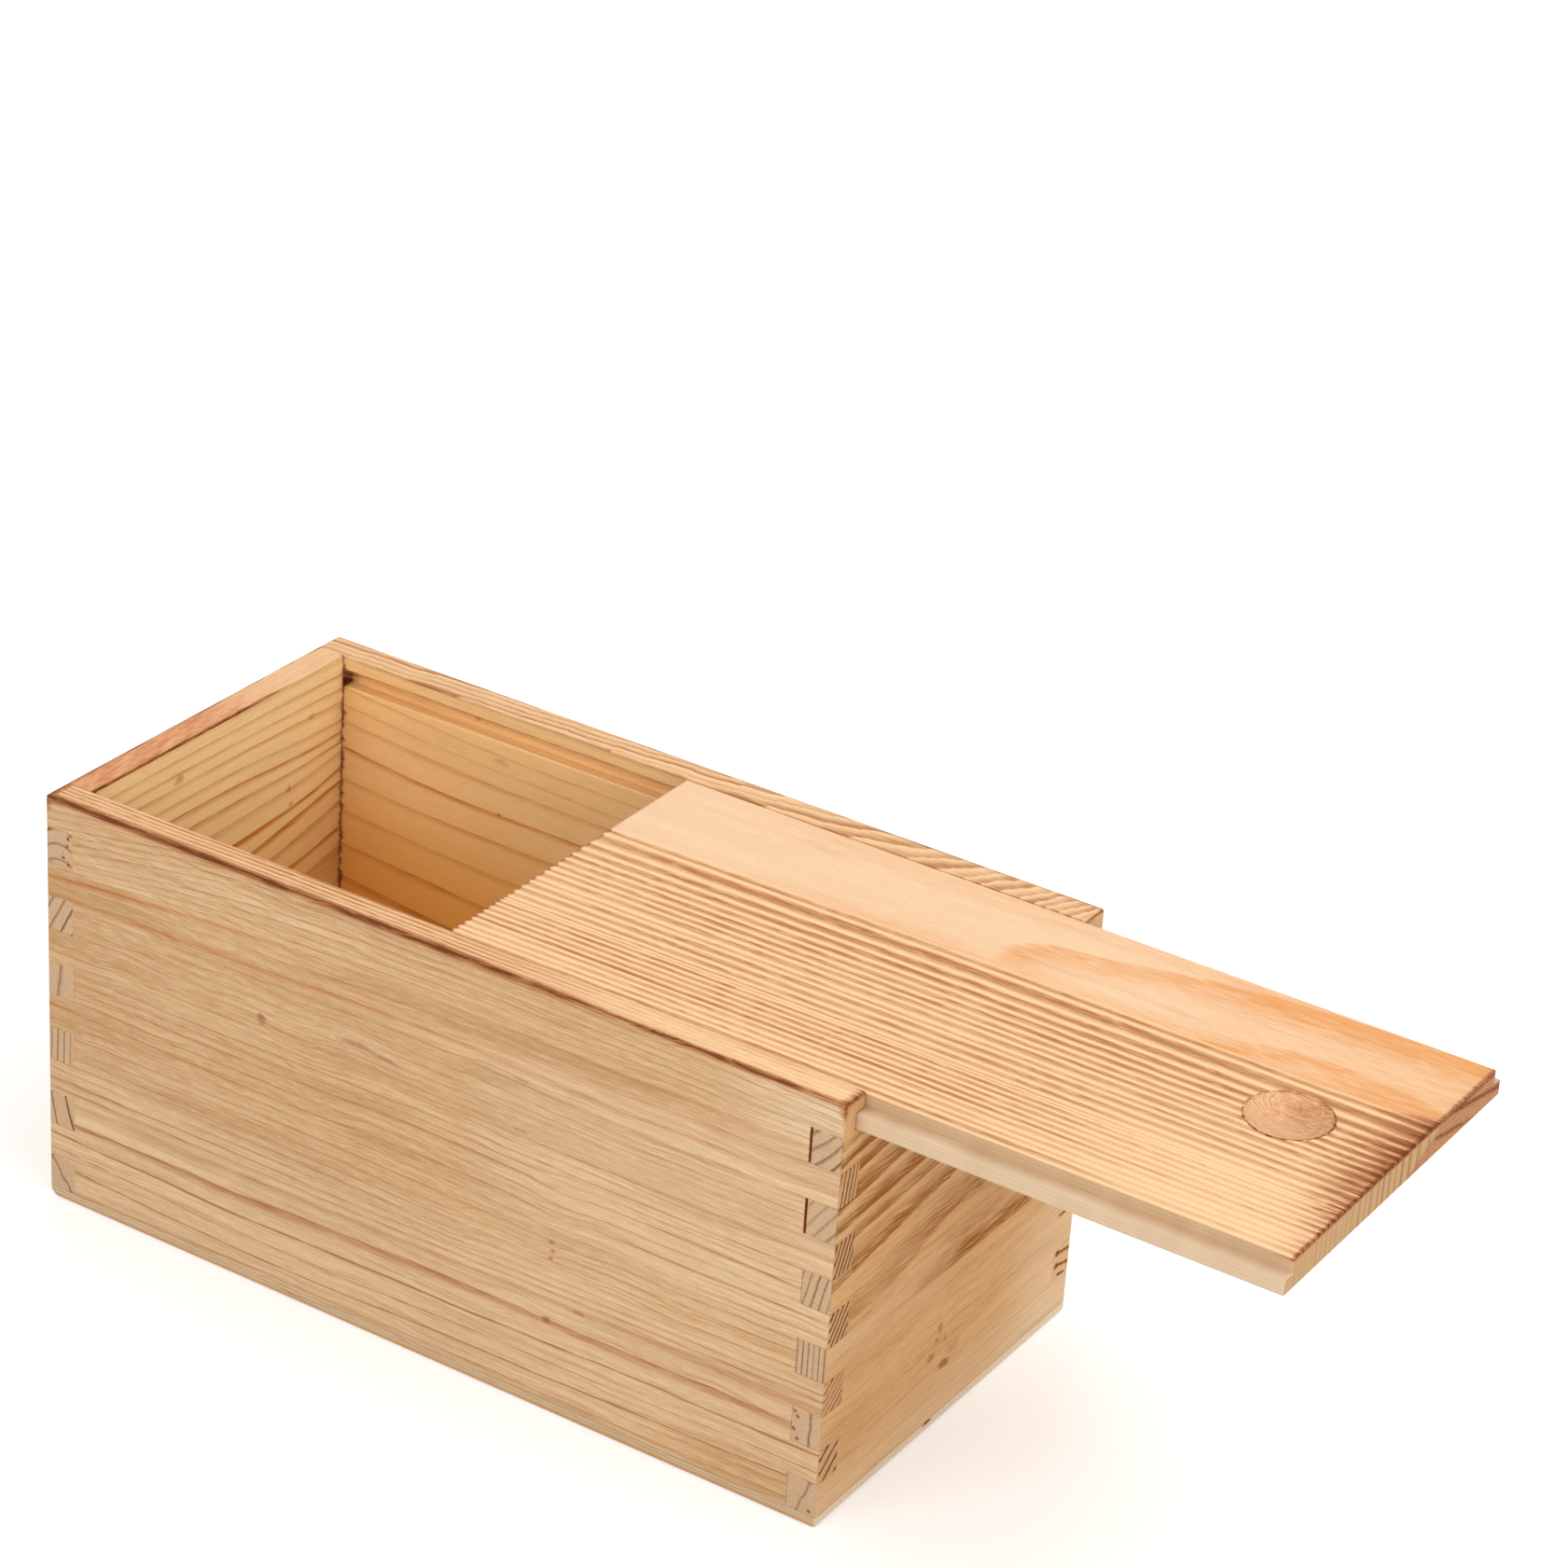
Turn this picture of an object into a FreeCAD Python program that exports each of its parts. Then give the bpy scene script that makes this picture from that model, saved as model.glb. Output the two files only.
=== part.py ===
import FreeCAD, Part
import os
from FreeCAD import Vector

# A pine box with a lid that slides in grooves. Six pieces: two long sides, two ends, a thin
# glued-on base and the lid. The corners are box joints, cut as alternating square fingers.
# Frame: origin in the middle of the base's underside, +X towards the open end that the lid is
# drawn out of, +Y towards the rear side, +Z up. All lengths are in millimetres.

# Driving dimensions of the box
BOX_LENGTH = 254.0          # over the outer faces of the two ends
BOX_WIDTH = 127.0           # over the outer faces of the two sides
BOX_HEIGHT = 126.0          # from the underside of the base to the top of the sides
SIDE_THICKNESS = 9.0
END_THICKNESS = 9.0
BASE_THICKNESS = 3.0
FINGER_BANDS = 11           # bands up each corner; the odd count gives both ends of it to the ends
EDGE_ROUND = 0.9            # radius of the worn outer arrises of the box
INNER_ROUND = 0.5           # radius of the arrises round the mouth

# Driving dimensions of the lid and of the grooves that it runs in
LIP_HEIGHT = 4.7            # wood that is left above each groove
GROOVE_HEIGHT = 5.0
GROOVE_DEPTH = 3.8
LID_THICKNESS = 9.0
RUNNING_GAP = 0.3           # between the lid's tongues and each wall of the grooves
STOP_GAP = 0.3              # between the lid's inner edge and the far end, when it is shut
LID_DRAWN_OUT = 118.0       # how far out the lid stands at rest
LID_ROUND = 0.4             # radius of the lid's arrises

# Driving dimensions of the finger recess, a round dish in the lid's top face
RECESS_DIAMETER = 23.0
RECESS_DEPTH = 3.0
RECESS_INSET = 31.0         # from the lid's outer edge to the middle of the dish
RECESS_OFFSET = 1.8         # from the lid's centre line towards the rear side

# Places that follow from them
END_X = BOX_LENGTH / 2
SIDE_Y = BOX_WIDTH / 2
INNER_X = END_X - END_THICKNESS
INNER_Y = SIDE_Y - SIDE_THICKNESS
GROOVE_TOP = BOX_HEIGHT - LIP_HEIGHT
GROOVE_FLOOR = GROOVE_TOP - GROOVE_HEIGHT
GROOVE_BACK = INNER_Y + GROOVE_DEPTH
BAND_HEIGHT = (GROOVE_FLOOR - BASE_THICKNESS) / FINGER_BANDS

LID_BOTTOM = GROOVE_FLOOR + RUNNING_GAP
LID_TOP = LID_BOTTOM + LID_THICKNESS
TONGUE_TOP = GROOVE_TOP - RUNNING_GAP
TONGUE_EDGE = GROOVE_BACK - RUNNING_GAP
LID_FACE_EDGE = INNER_Y - RUNNING_GAP
LID_INNER_X = -INNER_X + STOP_GAP + LID_DRAWN_OUT
LID_OUTER_X = END_X + LID_DRAWN_OUT


def block(low, high):
    """A square-edged block between two opposite corners."""
    size = [high[i] - low[i] for i in range(3)]
    return Part.makeBox(size[0], size[1], size[2], Vector(*low))


def worn_outline():
    """The whole box as one block with rounded arrises, which trims each outer piece."""
    outline = block((-END_X, -SIDE_Y, 0), (END_X, SIDE_Y, BOX_HEIGHT))
    return outline.makeFillet(EDGE_ROUND, outline.Edges)


def edges_along(shape, axis, places):
    """The straight edges that run along an axis and pass through one of the given points.

    A place gives the two other coordinates of the edge, in X, Y, Z order.
    """
    across = [i for i in range(3) if i != axis]
    found = []
    for edge in shape.Edges:
        box = edge.BoundBox
        low = (box.XMin, box.YMin, box.ZMin)
        high = (box.XMax, box.YMax, box.ZMax)
        for place in places:
            on_line = all(
                abs(low[i] - value) < 0.01 and abs(high[i] - value) < 0.01
                for i, value in zip(across, place)
            )
            if on_line:
                found.append(edge)
    return found


def end_finger_bands():
    """Heights, from and to, of the fingers that belong to the ends: every other band."""
    floor = BASE_THICKNESS
    return [
        (floor + i * BAND_HEIGHT, floor + (i + 1) * BAND_HEIGHT)
        for i in range(0, FINGER_BANDS, 2)
    ]


def end_fingers(x_low, x_high):
    """The fingers of one end, on both of its edges, out to the faces of the sides."""
    fingers = []
    for low, high in end_finger_bands():
        fingers.append(block((x_low, -SIDE_Y, low), (x_high, -INNER_Y, high)))
        fingers.append(block((x_low, INNER_Y, low), (x_high, SIDE_Y, high)))
    return fingers


def side_board(facing):
    """One long side; facing is -1 for the front side and +1 for the rear side.

    The board runs the full length. Sockets at both ends take the fingers of the ends. The
    groove for the lid is moulded in the inner face, through both ends of the board.
    """
    y_low, y_high = sorted((facing * INNER_Y, facing * SIDE_Y))
    board = block((-END_X, y_low, BASE_THICKNESS), (END_X, y_high, BOX_HEIGHT))
    mouth_arris = edges_along(board, 0, [(facing * INNER_Y, BOX_HEIGHT)])
    board = board.makeFillet(INNER_ROUND, mouth_arris)

    groove_low, groove_high = sorted((facing * INNER_Y, facing * GROOVE_BACK))
    groove = block((-END_X, groove_low, GROOVE_FLOOR), (END_X, groove_high, GROOVE_TOP))
    sockets = end_fingers(-END_X, -INNER_X) + end_fingers(INNER_X, END_X)
    return board.cut([groove] + sockets).common(worn_outline())


def far_end():
    """The end that the lid shuts against: full height, with its top flush with the sides."""
    panel = block((-END_X, -INNER_Y, BASE_THICKNESS), (-INNER_X, INNER_Y, BOX_HEIGHT))
    mouth_arris = edges_along(panel, 1, [(-INNER_X, BOX_HEIGHT)])
    panel = panel.makeFillet(INNER_ROUND, mouth_arris)
    return panel.fuse(end_fingers(-END_X, -INNER_X)).removeSplitter().common(worn_outline())


def near_end():
    """The lower end that the lid passes over: its top is level with the groove floors."""
    panel = block((INNER_X, -INNER_Y, BASE_THICKNESS), (END_X, INNER_Y, GROOVE_FLOOR))
    top_arrises = edges_along(panel, 1, [(INNER_X, GROOVE_FLOOR), (END_X, GROOVE_FLOOR)])
    panel = panel.makeFillet(INNER_ROUND, top_arrises)
    return panel.fuse(end_fingers(INNER_X, END_X)).removeSplitter().common(worn_outline())


def base_panel():
    """The thin panel glued under the four walls, flush with their outer faces."""
    panel = block((-END_X, -SIDE_Y, 0), (END_X, SIDE_Y, BASE_THICKNESS))
    return panel.common(worn_outline())


def lid_section():
    """Cross-section of the lid: a board with a rebate along each long edge.

    What is left below the rebate is the tongue that runs in the groove.
    """
    half = [
        (TONGUE_EDGE, LID_BOTTOM),
        (TONGUE_EDGE, TONGUE_TOP),
        (LID_FACE_EDGE, TONGUE_TOP),
        (LID_FACE_EDGE, LID_TOP),
    ]
    outline = half + [(-y, z) for y, z in reversed(half)]
    points = [Vector(LID_INNER_X, y, z) for y, z in outline]
    return Part.Face(Part.makePolygon(points + points[:1]))


def recess_cutter():
    """A ball that leaves the round dish for a fingertip in the lid's top face."""
    rim = RECESS_DIAMETER / 2
    radius = (rim ** 2 + RECESS_DEPTH ** 2) / (2 * RECESS_DEPTH)
    middle = Vector(LID_OUTER_X - RECESS_INSET, RECESS_OFFSET, LID_TOP - RECESS_DEPTH + radius)
    return Part.makeSphere(radius, middle)


def sliding_lid():
    """The lid, drawn out by LID_DRAWN_OUT: tongues along both edges and a dish for a finger."""
    board = lid_section().extrude(Vector(LID_OUTER_X - LID_INNER_X, 0, 0))
    long_arrises = edges_along(board, 0, [
        (-LID_FACE_EDGE, LID_TOP), (LID_FACE_EDGE, LID_TOP),
        (-TONGUE_EDGE, LID_BOTTOM), (TONGUE_EDGE, LID_BOTTOM),
        (-TONGUE_EDGE, TONGUE_TOP), (TONGUE_EDGE, TONGUE_TOP),
    ])
    cross_arrises = edges_along(board, 1, [
        (LID_INNER_X, LID_BOTTOM), (LID_INNER_X, LID_TOP),
        (LID_OUTER_X, LID_BOTTOM), (LID_OUTER_X, LID_TOP),
    ])
    board = board.makeFillet(LID_ROUND, long_arrises + cross_arrises)
    return board.cut(recess_cutter())


PIECES = {
    "side_front": side_board(-1),
    "side_rear": side_board(1),
    "end_far": far_end(),
    "end_near": near_end(),
    "base_panel": base_panel(),
    "lid": sliding_lid(),
}

os.makedirs("parts", exist_ok=True)
for name, shape in PIECES.items():
    solid = shape.Solids[0]
    solid.exportStep("parts/" + name + ".step")
    print(name, "solids", len(shape.Solids), "valid", solid.isValid(), "volume", round(solid.Volume))
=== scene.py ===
import math

import bpy
import numpy as np
from mathutils import Matrix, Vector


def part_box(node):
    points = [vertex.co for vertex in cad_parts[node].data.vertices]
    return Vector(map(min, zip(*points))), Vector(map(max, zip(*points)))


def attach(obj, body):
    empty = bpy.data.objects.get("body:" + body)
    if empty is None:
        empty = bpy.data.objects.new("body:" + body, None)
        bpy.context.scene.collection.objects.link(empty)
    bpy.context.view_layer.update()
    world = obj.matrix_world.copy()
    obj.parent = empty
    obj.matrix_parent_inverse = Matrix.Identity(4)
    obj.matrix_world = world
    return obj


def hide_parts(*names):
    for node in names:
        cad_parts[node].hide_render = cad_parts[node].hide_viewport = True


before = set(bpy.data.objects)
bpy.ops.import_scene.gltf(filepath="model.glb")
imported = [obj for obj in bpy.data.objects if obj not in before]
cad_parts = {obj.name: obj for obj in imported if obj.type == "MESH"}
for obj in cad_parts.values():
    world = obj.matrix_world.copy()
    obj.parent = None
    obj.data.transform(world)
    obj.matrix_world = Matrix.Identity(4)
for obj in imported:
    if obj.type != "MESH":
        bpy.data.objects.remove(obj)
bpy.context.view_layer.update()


# ---------------------------------------------------------------------------- front side
# The long side: a 9 mm flat-sawn pine board with its grain along the box. Sockets in both of its
# ends take the fingers of the ends, and the groove for the lid is moulded in its inner face. The
# glued box was scorched with a torch and then brushed, which darkened the arrises most.

def corners(node):
    """Lowest and highest corner of a CAD node, in millimetres."""
    return [np.array(corner) * 1000 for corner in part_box(node)]


side_low, side_high = corners("side_front")
near_low, near_high = corners("end_near")
lid_low, lid_high = corners("lid")

END_X, SIDE_Y = side_high[0], -side_low[1]     # outer faces of the ends and of the sides
INNER_X, INNER_Y = near_low[0], -side_high[1]  # their inner faces
FLOOR, RIM = side_low[2], side_high[2]         # top of the base, and top of the sides
GROOVE_FLOOR = near_high[2]
LIP_HEIGHT = 4.7      # wood above the groove
RUNNING_GAP = 0.3     # between the lid's tongues and the groove
GROOVE_TOP = RIM - LIP_HEIGHT
GROOVE_BACK = lid_high[1] + RUNNING_GAP
FINGER_BANDS = 11
BAND_HEIGHT = (GROOVE_FLOOR - FLOOR) / FINGER_BANDS
BAND_EDGES = [FLOOR + i * BAND_HEIGHT for i in range(FINGER_BANDS + 1)]
OUTER_ROUND = 0.9     # radius of the box's worn outer arrises
ROUND_LINES = np.linspace(0, OUTER_ROUND, 5)
MOUTH_ROUND = 0.5     # radius of the arrises round the mouth
BOARD = 9.0           # thickness of the sides and of the ends
EASE = 0.1            # the brush's break on every other arris
EASE_REACH = 0.28     # from an arris to the lines on both sides of it
FACE_RELIEF = 0.03    # how deep the brush went into the outer faces of the sides
TOP_RELIEF = 0.16     # and into their top edges
ON_FACE = 0.3         # points this near an outer face belong to it
ON_TOP = 1.0          # points this near the rim belong to the top edge of a side
BEYOND = 999.0        # past every face, so nothing is rounded there


def smooth(value, low, high):
    """0 below low, 1 above high and an S-curve between: t * t * (3 - 2 t)."""
    t = np.clip((value - low) / (high - low), 0, 1)
    return t * t * (3 - 2 * t)


def fall(value, low, high):
    """1 below low, 0 above high and an S-curve between."""
    return 1 - smooth(value, low, high)


def hump(value, low, rises_to, falls_from, high):
    """0 below low and above high, and 1 between the two inner values."""
    return smooth(value, low, rises_to) * fall(value, falls_from, high)


def bell(offset, width):
    """1 in the middle and falling off on both sides: exp(-(offset / width) ** 2)."""
    return np.exp(-(offset / width) ** 2)


def waver(place, length, phase=0.0):
    """A slow wander between about -1 and 1: three sines whose lengths have no common measure."""
    turn = place * (2 * math.pi / length)
    quicker = np.sin(1.71 * turn + 2.3 * phase) + np.sin(2.93 * turn - phase)
    return (np.sin(turn + phase) + quicker) / 2.2


def marks(stops, pitch):
    """Lines across a board: one at every stop, and equal cells no wider than pitch between them."""
    stops = sorted({round(float(stop), 4) for stop in stops})
    spans = [
        np.linspace(low, high, max(1, math.ceil((high - low) / pitch)), endpoint=False)
        for low, high in zip(stops, stops[1:])
    ]
    return np.append(np.concatenate(spans), stops[-1])


def beside(*places, reach=EASE_REACH):
    """Each place, with a line on both sides of it that keeps its arris crisp."""
    return [place + side * reach for place in places for side in (-1, 0, 1)]


def roll(outer):
    """Lines from an outer face inward over its worn arris, on both sides of zero."""
    return list(outer - ROUND_LINES) + list(ROUND_LINES - outer)


def skin(lines, wood):
    """The closed skin of a board that is marked off in cells by lines along X, Y and Z.

    A face lies wherever a cell of wood meets an empty one, turned towards the empty one. Returns
    the points, the four-sided faces, the signs of the step from each point into the wood, and
    whether the point is on an outward arris, where at most 3 of the 8 cells round it are wood.
    """
    padded = np.pad(wood, 1)
    counts = [len(line) for line in lines]
    grid = np.stack(np.meshgrid(*lines, indexing="ij"), axis=-1).reshape(-1, 3)
    faces = []
    for axis in range(3):
        others = [(axis + 1) % 3, (axis + 2) % 3]
        within = [slice(None) if i == axis else slice(1, -1) for i in range(3)]
        change = np.diff(padded.astype(np.int8), axis=axis)[tuple(within)]
        for turned in (1, -1):
            cell = np.argwhere(change == -turned)
            ring = []
            for du, dv in ((0, 0), (1, 0), (1, 1), (0, 1)):
                corner = cell.copy()
                corner[:, others[0]] += du
                corner[:, others[1]] += dv
                ring.append(np.ravel_multi_index(corner.T, counts))
            faces.append(np.stack(ring[::turned], axis=1))
    used, faces = np.unique(np.concatenate(faces), return_inverse=True)
    faces = faces.reshape(-1, 4)
    step = np.zeros(counts + [3])
    around = np.zeros(counts)
    for cell in np.ndindex(2, 2, 2):
        here = padded[tuple(slice(c, c + n) for c, n in zip(cell, counts))]
        around += here
        step += here[..., None] * (np.array(cell) * 2 - 1)
    step = np.sign(step.reshape(-1, 3)[used])
    return grid[used], faces, step, around.reshape(-1)[used] <= 3


def round_over(points, low, high, radius):
    """Rolls the arrises of a box: the part of each point outside the core keeps its largest
    coordinate as its length, so a square corner becomes a quarter round."""
    core = np.clip(points, np.asarray(low) + radius, np.asarray(high) - radius)
    out = points - core
    reach = np.abs(out).max(axis=1, keepdims=True)
    length = np.linalg.norm(out, axis=1, keepdims=True)
    return core + out * np.divide(reach, length, out=np.ones_like(length), where=length > 1e-9)


def worn(points, step, arris):
    """Breaks every arris a little and rolls those on the outline of the whole box."""
    eased = points + EASE * step * arris[:, None]
    return round_over(eased, (-END_X, -SIDE_Y, 0), (END_X, SIDE_Y, RIM), OUTER_ROUND)


def bent(along, stations, heights):
    """A smooth line through one height at each station: cubic pieces that meet in the mean slope."""
    x, y = np.array(stations, float), np.array(heights, float)
    slope = np.gradient(y, x)
    along = np.clip(along, x[0], x[-1])
    i = np.clip(np.searchsorted(x, along) - 1, 0, len(x) - 2)
    run = x[i + 1] - x[i]
    t = (along - x[i]) / run
    return (
        y[i] * (1 + 2 * t) * (1 - t) ** 2 + slope[i] * run * t * (1 - t) ** 2
        + y[i + 1] * t * t * (3 - 2 * t) + slope[i + 1] * run * t * t * (t - 1)
    )


def growth(along, height, stations, rows):
    """Growth rings over a face, from rows of (ring number, darkness, breadth, heights).

    Each row is one growth line, with its height at each station. Between two rows the ring number,
    the darkness of the late wood and its breadth run evenly, and beyond the last row the numbers
    go on at the same rate. Returns the three.
    """
    levels = [bent(along, stations, row[3]) for row in rows]
    numbers = np.array([row[:3] for row in rows], float)
    result = numbers[0][:, None] * np.ones_like(height)
    last = len(rows) - 2
    for i in range(len(rows) - 1):
        share = (height - levels[i]) / (levels[i + 1] - levels[i])
        whole = np.clip(share, None if i == 0 else 0, None if i == last else 1)
        held = np.clip(share, 0, 1)
        rise = (numbers[i + 1] - numbers[i])[:, None]
        result += rise * np.stack([whole, held, held])
    return result


def brush_line(ring):
    """How deep the brush went: steeply down from each ridge of late wood, then slowly up again."""
    return hump(ring % 1, -0.02, 0.26, 0.35, 1.08)


def tint(red, green, blue):
    """An sRGB colour, 0 to 255 a channel, as the linear colour that a shader takes."""
    share = np.array([red, green, blue]) / 255
    linear = np.where(share <= 0.04045, share / 12.92, ((share + 0.055) / 1.055) ** 2.4)
    return (*linear.tolist(), 1.0)


class Wire:
    """One socket in a material. Arithmetic on it adds Math nodes, and node() adds any other node."""

    def __init__(self, tree, socket=None):
        self.tree = tree
        self.socket = socket

    def node(self, kind, inputs=(), output=0, **settings):
        """Adds a node: first its settings, then the values or links of its sockets."""
        new = self.tree.nodes.new("ShaderNode" + kind)
        for key, value in settings.items():
            setattr(new, key, value)
        for key, value in dict(inputs).items():
            if isinstance(value, Wire):
                self.tree.links.new(value.socket, new.inputs[key])
            else:
                new.inputs[key].default_value = value
        return Wire(self.tree, new.outputs[output] if len(new.outputs) else None)

    def maths(self, operation, first, second):
        return self.node("Math", {0: first, 1: second}, operation=operation)

    def __add__(self, other):
        return self.maths("ADD", self, other)

    def __sub__(self, other):
        return self.maths("SUBTRACT", self, other)

    def __rsub__(self, other):
        return self.maths("SUBTRACT", other, self)

    def __mul__(self, other):
        return self.maths("MULTIPLY", self, other)

    def __truediv__(self, other):
        return self.maths("DIVIDE", self, other)

    def __pow__(self, other):
        return self.maths("POWER", self, other)

    __radd__ = __add__
    __rmul__ = __mul__

    def rise(self, low, high):
        """0 below low, 1 above high and an S-curve between."""
        sockets = {0: self, 1: low, 2: high}
        return self.node("MapRange", sockets, interpolation_type="SMOOTHSTEP")

    def blend(self, first, second):
        """The first colour where this is 0 and the second where it is 1."""
        return self.node("Mix", {0: self, 6: first, 7: second}, output=2, data_type="RGBA")


PALE_SIDE = tint(222, 187, 145)
TAN_SIDE = tint(186, 146, 103)
LATE_SIDE = tint(166, 116, 70)
CREST = tint(250, 208, 160)
TROUGH = tint(178, 116, 66)
DUSTY = tint(230, 208, 178)
RESIN = tint(200, 126, 62)
TOASTED = tint(168, 108, 66)
CHARRED = tint(112, 58, 26)
HONEY = tint(252, 208, 146)
HONEY_LATE = tint(206, 128, 50)
KNOT = tint(140, 84, 42)
END_PALE = tint(200, 167, 133)
END_LATE = tint(122, 86, 56)


def pine(name, grain, pale=PALE_SIDE, tan=TAN_SIDE, late=LATE_SIDE, spots=(), wobble=0.3,
         cut_pale=END_PALE, cut_late=END_LATE, inner=HONEY, resin=RESIN, hollow=TROUGH,
         dusty_and_shade=DUSTY, strands=0.0, streaky=0.25):
    """Scorched and brushed pine, with its fibres along the unit vector grain.

    The piece's attributes say where its growth rings lie (ring), how dark and how broad their
    late wood is (line, breadth), how deep the brush went (brushed), how far the wood turns to the
    dusty_and_shade colour above 0 or browns below it (grey), and how much resin, scorch and
    unscorched inner face there is (resin, burn, inside). In places grey also carries painted
    shade and bounce light, resin painted light in a groove, and burn painted shade and shadow
    under a lip, in corners, slits, groove ends, the dish, the lid's shoulder and a gap in the
    base. spots are knots and pin marks, each (place across the face, height, half-length,
    half-height, depth) on the face along the grain. strands is how plainly thin wandering lines
    show between the rings, and streaky how much the fibres break up dark wood.
    """
    material = bpy.data.materials.new(name)
    material.use_nodes = True
    tree = material.node_tree
    tree.nodes.clear()
    new = Wire(tree)
    metres = new.node("TexCoord", output="Object")
    place = new.node("VectorMath", {0: metres, "Scale": 1000.0}, operation="SCALE")
    sway = new.node("TexNoise", {"Vector": place, "Scale": 0.035, "Detail": 1.0}) - 0.5
    sway = new.node("CombineXYZ", {2: 5.0 * sway})
    place = new.node("VectorMath", {0: place, 1: sway}, operation="ADD")

    def flecks(long, wide, detail=2.0, rough=0.5):
        """Noise from 0 to 1 in cells about long along the fibres and wide across them."""
        stretch = [1 / long if share else 1 / wide for share in grain]
        cells = new.node("VectorMath", {0: place, 1: stretch}, operation="MULTIPLY")
        sockets = {"Vector": cells, "Scale": 1.0, "Detail": detail, "Roughness": rough}
        return new.node("TexNoise", sockets)

    def field(attribute):
        return new.node("Attribute", output="Fac", attribute_name=attribute)

    fibre = flecks(18.0, 0.85, 4.0, 0.7)
    hair = flecks(4.5, 0.42, 2.0)
    broad = flecks(120.0, 8.0, 2.0)
    patches = flecks(60.0, 2.2)
    broken = 1 + streaky * (2 * flecks(12.0, 0.5, 3.0).rise(0.34, 0.66) - 1)

    turn = field("ring") + wobble * (flecks(45.0, 3.0) - 0.5)
    year = new.node("Math", {0: turn}, operation="FLOOR")
    phase = turn - year
    own = new.node("TexWhiteNoise", {"W": year}, noise_dimensions="1D")
    line = field("line")
    brushed = field("brushed")
    inside = field("inside")
    breadth = field("breadth")
    edge = phase.rise(1 - breadth, 0.96) * (1 - phase.rise(0.96, 1.0)) * (1 - 0.25 * inside)
    late_wood = edge * line * (1 - brushed) * (0.6 + 0.8 * own) * (0.2 + 1.6 * patches) * broken
    trough = phase.rise(-0.02, 0.26) * (1 - phase.rise(0.35, 1.08)) * brushed * line

    grey = field("grey")
    mellow = (0.38 * fibre + 0.32 * hair + 0.3 * broad).rise(0.32, 0.68) - 0.5 * grey
    colour = mellow.blend(pale, tan)
    colour = (brushed * (1 - 0.3 * mellow)).blend(colour, CREST)
    colour = (inside * (1 - 0.3 * mellow)).blend(colour, inner)
    colour = grey.blend(colour, dusty_and_shade)
    if strands:
        thread = flecks(130.0, 1.3, 1.0) - 0.5
        strand = 1 - (thread * thread).rise(0.0, 0.004)
        strand = strand * (0.3 + 0.7 * patches.rise(0.35, 0.6)) * (1 - inside) * (1 - brushed)
        colour = (strands * strand).blend(colour, late)
    colour = late_wood.blend(colour, inside.blend(late, HONEY_LATE))
    # The brushed valleys are mixed towards the hollow colour: painted shade in the recesses, stronger
    # where the late wood is darker.
    combed = flecks(70.0, 0.4).rise(0.3, 0.7)
    furrow = trough * (0.6 * fibre + 0.4 * hair + 0.4 * patches + 0.55 * combed)
    colour = (furrow * (0.5 + 0.5 * broken)).blend(colour, hollow)

    if spots:
        across = new.node("SeparateXYZ", {0: place}, output="Y" if grain[1] else "X")
        level = new.node("SeparateXYZ", {0: place}, output="Z")
        stray = flecks(1.6, 1.2) - 0.5
        mark = 0.0
        for middle, height, half_length, half_height, depth in spots:
            far = ((across - middle) / half_length) ** 2 + ((level - height) / half_height) ** 2
            mark = mark + depth * (1 - (far + 2.2 * stray).rise(-0.2, 1.5))
        colour = mark.blend(colour, KNOT)

    facing = new.node("TexCoord", output="Normal")
    dot = new.node("VectorMath", {0: facing, 1: grain}, output="Value", operation="DOT_PRODUCT")
    end = new.node("Math", {0: dot}, operation="ABSOLUTE").rise(0.6, 0.8)
    pores = new.node("TexNoise", {"Vector": place, "Scale": 2.2, "Detail": 3.0})
    cut_edge = phase.rise(1 - breadth, 1 - 0.36 * breadth) * (1 - phase.rise(0.92, 1.0))
    cut_edge = cut_edge * line * (0.7 + 0.6 * own) * (0.6 + 0.8 * pores)
    cut_colour = cut_edge.blend(cut_pale, cut_late)
    cut_colour = (0.3 * pores.rise(0.48, 0.7)).blend(cut_colour, cut_late)
    colour = end.blend(colour, cut_colour)

    colour = (field("resin") * (0.5 + 1.0 * fibre) * broken).blend(colour, resin)
    burn = field("burn") * (0.5 + 1.0 * flecks(11.0, 0.5, 3.0, 0.6).rise(0.3, 0.7))
    colour = burn.rise(0.02, 0.6).blend(colour, TOASTED)
    colour = burn.rise(0.5, 1.1).blend(colour, CHARRED)

    height = 0.6 * hair + 0.5 * fibre - 0.5 * late_wood + end * pores
    bump = new.node("Bump", {"Height": height, "Distance": 0.00015, "Strength": 0.6})
    sockets = {
        "Base Color": colour,
        "Roughness": 0.55 + 0.2 * fibre,
        "Specular IOR Level": 0.12,
        "Normal": bump,
    }
    bsdf = new.node("BsdfPrincipled", sockets)
    new.node("OutputMaterial", {"Surface": bsdf})
    return material


def piece(name, points, faces, figure, material):
    """One object at the origin from points in millimetres, with the figure's values as attributes."""
    mesh = bpy.data.meshes.new(name)
    mesh.vertices.add(len(points))
    mesh.vertices.foreach_set("co", (points / 1000).ravel())
    mesh.loops.add(faces.size)
    mesh.loops.foreach_set("vertex_index", faces.ravel())
    mesh.polygons.add(len(faces))
    mesh.polygons.foreach_set("loop_start", np.arange(len(faces)) * 4)
    mesh.update(calc_edges=True)
    mesh.validate()
    for key, values in figure.items():
        values = np.broadcast_to(values, len(points)).astype(np.float32)
        mesh.attributes.new(key, "FLOAT", "POINT").data.foreach_set("value", values)
    mesh.shade_smooth()
    mesh.set_sharp_from_angle(angle=math.radians(55))
    mesh.materials.append(material)
    made = bpy.data.objects.new(name, mesh)
    bpy.context.scene.collection.objects.link(made)
    return made


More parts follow.
